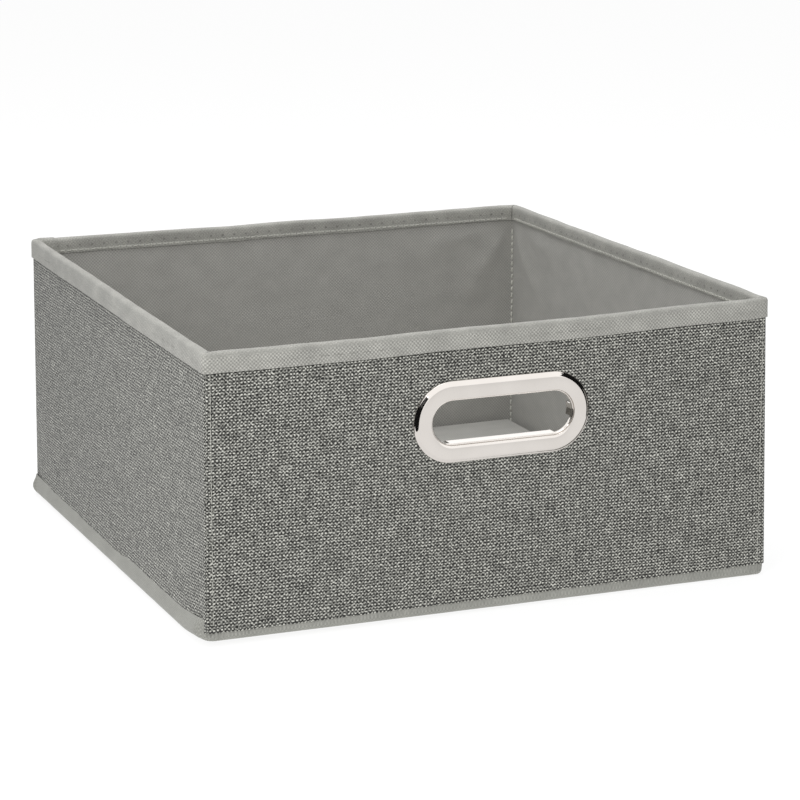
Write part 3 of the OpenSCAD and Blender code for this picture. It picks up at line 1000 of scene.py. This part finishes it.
def top_cover(x, y):
    """A point on the top cover: flat on the board and loose at its back right corner, rounded
    over its edge, then the hem."""
    reach = min(hem_high.x - abs(x), hem_high.y - abs(y))
    climb = ease((reach - hem_width + 1.5 * MM) / (1.1 * MM))
    ripple = 0.06 * MM * soft(x, y, 4, 18 * MM)
    loose = CORNER_LOOSE * ease((x + y) / (hem_high.x + hem_high.y) * 2 - 0.9)
    return Vector((x, y, hem_top + (cover_top - hem_top + loose) * climb + ripple))


def bottom_cover(x, y):
    """A point on the bottom cover, flat under the board."""
    return Vector((x, y, hem_low.z + 0.03 * MM * (1 + soft(x, y, 8, 20 * MM))))


xs, ys = edge_steps(hem_high.x), edge_steps(hem_high.y)
cover = lay_cloth("insert_top_cover", xs, ys, top_cover, COVER_SHEET)
finish_piece(cover, "base_insert", ["insert_cover_top"], insert_cloth)
cover = lay_cloth("insert_bottom_cover", xs[::-1], ys, bottom_cover, COVER_SHEET)
finish_piece(cover, "base_insert", ["insert_cover_bottom"], insert_cloth)

places = []
seam_x, seam_y = hem_high.x - hem_width / 2, hem_high.y - hem_width / 2
for half, other, run, out in ((seam_x, seam_y, Vector((1, 0, 0)), Vector((0, 1, 0))),
                              (seam_y, seam_x, Vector((0, 1, 0)), Vector((1, 0, 0)))):
    count = int(2 * half / CORNER_PITCH)
    for i in range(count):
        spot = run * ((i + 0.5) / count * 2 - 1) * half
        for way in (-1, 1):
            centre = spot + out * other * way
            places.append(stitch_place(centre + UP * (hem_top + 0.02 * MM), run, UP))
            places.append(stitch_place(centre + UP * (hem_low.z + 0.02 * MM), run, -UP))
hem_seam = sew("insert_hem_seam", make_stitch(3.2 * MM, 0.35 * MM), places)
finish_piece(hem_seam, "base_insert", ["insert_thread"], thread_paint)


# The handle is one piece of plated sheet metal: a bevelled oblong plate with a flat rim, and a
# collar that passes through the wall. A tab at each end of the collar is bent over a ring inside.
METAL = 0.6 * MM
PLATE_FOOT = 0.5 * MM
PLATE_GAP = 0.05 * MM
BEVEL = ((0.15, 0.3), (0.2, 0.15), (0.2, 0.06), (0.3, 0.2), (0.5, 0.42), (0.6, 0.42), (0.35, 0.18),
         (0.12, 0.03))
FLAT_RIM = 6.5
MOUTH = ((0.1, -0.04), (0.1, -0.16), (0.06, -0.3))
LEDGE_DEPTH = 0.25
COLLAR_LIP = ((0.08, 0.14), (0.12, 0.08), (0.2, 0.02), (0.2, -0.12), (0.15, -0.25), (0.1, -0.4))
COLLAR_AT_ENDS = 1.2 * MM
END_MARGIN = 1.5 * MM
TAB_WIDE = 6 * MM
TAB_BEND = 0.3 * MM
TAB_LAP = 2.6 * MM
RING_FOOT = 0.6 * MM
RING_SHEET = 0.3 * MM
RING_FACE = ((0.15, 0.2), (0.3, 0.15), (0.4, 0.05), (3.2, 0.0), (0.4, -0.05), (0.3, -0.15), (0.15, -0.2))

chrome, tree, shader = make_material("plated_metal", 0.07)
shader.inputs["Metallic"].default_value = 1.0
place = tree.nodes.new("ShaderNodeTexCoord")
smear = tree.nodes.new("ShaderNodeTexNoise")
smear.inputs["Scale"].default_value = 60
smear.inputs["Detail"].default_value = 6
tree.links.new(place.outputs["Object"], smear.inputs["Vector"])
shade_with(tree, shader, smear.outputs["Fac"],
           [(0.3, (0.645, 0.61, 0.575, 1)), (0.7, (0.685, 0.65, 0.615, 1))])
dull = calculate(tree, "ADD", calculate(tree, "MULTIPLY", smear.outputs["Fac"], 0.06), 0.03)
tree.links.new(dull, shader.inputs["Roughness"])
emboss_with(tree, shader, smear.outputs["Fac"], 0.01 * MM)


def press_rim(profile):
    """Insets the chosen face once for each (inwards, outwards) step of a profile, in millimetres."""
    for inwards, outwards in profile:
        bpy.ops.mesh.inset(thickness=inwards * MM, depth=outwards * MM)


def open_back(piece):
    """Deletes the closing face that the first extrusion left at the back, and keeps the chosen one."""
    bpy.ops.object.mode_set(mode="OBJECT")
    chosen = [face.index for face in piece.data.polygons if face.select]
    for face in piece.data.polygons:
        face.select = len(face.vertices) > 4 and face.index not in chosen
    if any(face.select for face in piece.data.polygons):
        bpy.ops.object.mode_set(mode="EDIT")
        bpy.ops.mesh.delete(type="FACE")
        bpy.ops.object.mode_set(mode="OBJECT")
    for face in piece.data.polygons:
        face.select = len(face.vertices) > 4
    bpy.ops.object.mode_set(mode="EDIT")


plate = oblong_disc("handle_plate", HANDLE_LENGTH, HANDLE_HEIGHT, cloth_low.y - PLATE_GAP)
bpy.ops.object.mode_set(mode="EDIT")
bpy.ops.mesh.select_mode(type="FACE")
bpy.ops.mesh.select_all(action="SELECT")
extrude(0, -PLATE_FOOT, 0)
open_back(plate)
press_rim(BEVEL)
press_rim(((FLAT_RIM, 0),))
press_rim(MOUTH)
extrude(0, LEDGE_DEPTH * MM, 0)
press_rim(COLLAR_LIP)
bpy.ops.object.mode_set(mode="OBJECT")
mouth_y = [face for face in plate.data.polygons if face.select][0].center.y
bpy.ops.object.mode_set(mode="EDIT")
extrude(0, COLLAR_AT_ENDS, 0)
extrude(0, handle_high.y - mouth_y - COLLAR_AT_ENDS, 0)
bpy.ops.mesh.delete(type="FACE")
bpy.ops.object.mode_set(mode="OBJECT")
centre = (handle_low + handle_high) / 2
tab_start = (HANDLE_LENGTH - HANDLE_HEIGHT) / 2 + END_MARGIN
for face in plate.data.polygons:
    off = face.center - centre
    at_end = abs(off.x) > tab_start and abs(off.z) > TAB_WIDE / 2
    face.select = at_end and face.center.y > mouth_y + COLLAR_AT_ENDS
bpy.ops.object.mode_set(mode="EDIT")
bpy.ops.mesh.delete(type="FACE")
bpy.ops.mesh.select_mode(type="EDGE")
bpy.ops.object.mode_set(mode="OBJECT")
back = handle_high.y - 0.01 * MM
for side in (-1, 1):
    for edge in plate.data.edges:
        ends = [plate.data.vertices[i].co for i in edge.vertices]
        edge.select = all(p.y > back and (p.x - centre.x) * side > tab_start
                          and abs(p.z - centre.z) < TAB_WIDE for p in ends)
    for vertex in plate.data.vertices:
        vertex.select = False
    bpy.ops.object.mode_set(mode="EDIT")
    bpy.ops.mesh.select_mode(type="EDGE")
    extrude(side * TAB_BEND, 0.25 * MM, 0)
    extrude(side * TAB_LAP, 0.05 * MM, 0)
    bpy.ops.object.mode_set(mode="OBJECT")
thicken(plate, METAL)
finish_piece(plate, "bin", ["handle_bezel"], chrome)

ring_low, ring_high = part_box("handle_back_ring")
ring = oblong_disc("handle_inside_ring", ring_high.x - ring_low.x, ring_high.z - ring_low.z, ring_low.y)
bpy.ops.object.mode_set(mode="EDIT")
bpy.ops.mesh.select_mode(type="FACE")
bpy.ops.mesh.select_all(action="SELECT")
bpy.ops.mesh.flip_normals()
extrude(0, RING_FOOT, 0)
open_back(ring)
press_rim(RING_FACE)
extrude(0, -RING_FOOT, 0)
bpy.ops.mesh.delete(type="FACE")
bpy.ops.object.mode_set(mode="OBJECT")
thicken(ring, RING_SHEET)
finish_piece(ring, "bin", ["handle_back_ring"], chrome)


def corners(box):
    """The two corners of a box as plain lists."""
    return [list(corner) for corner in box]


size = {"cad": corners((cad_low, cad_high)), "visual": corners(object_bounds())}
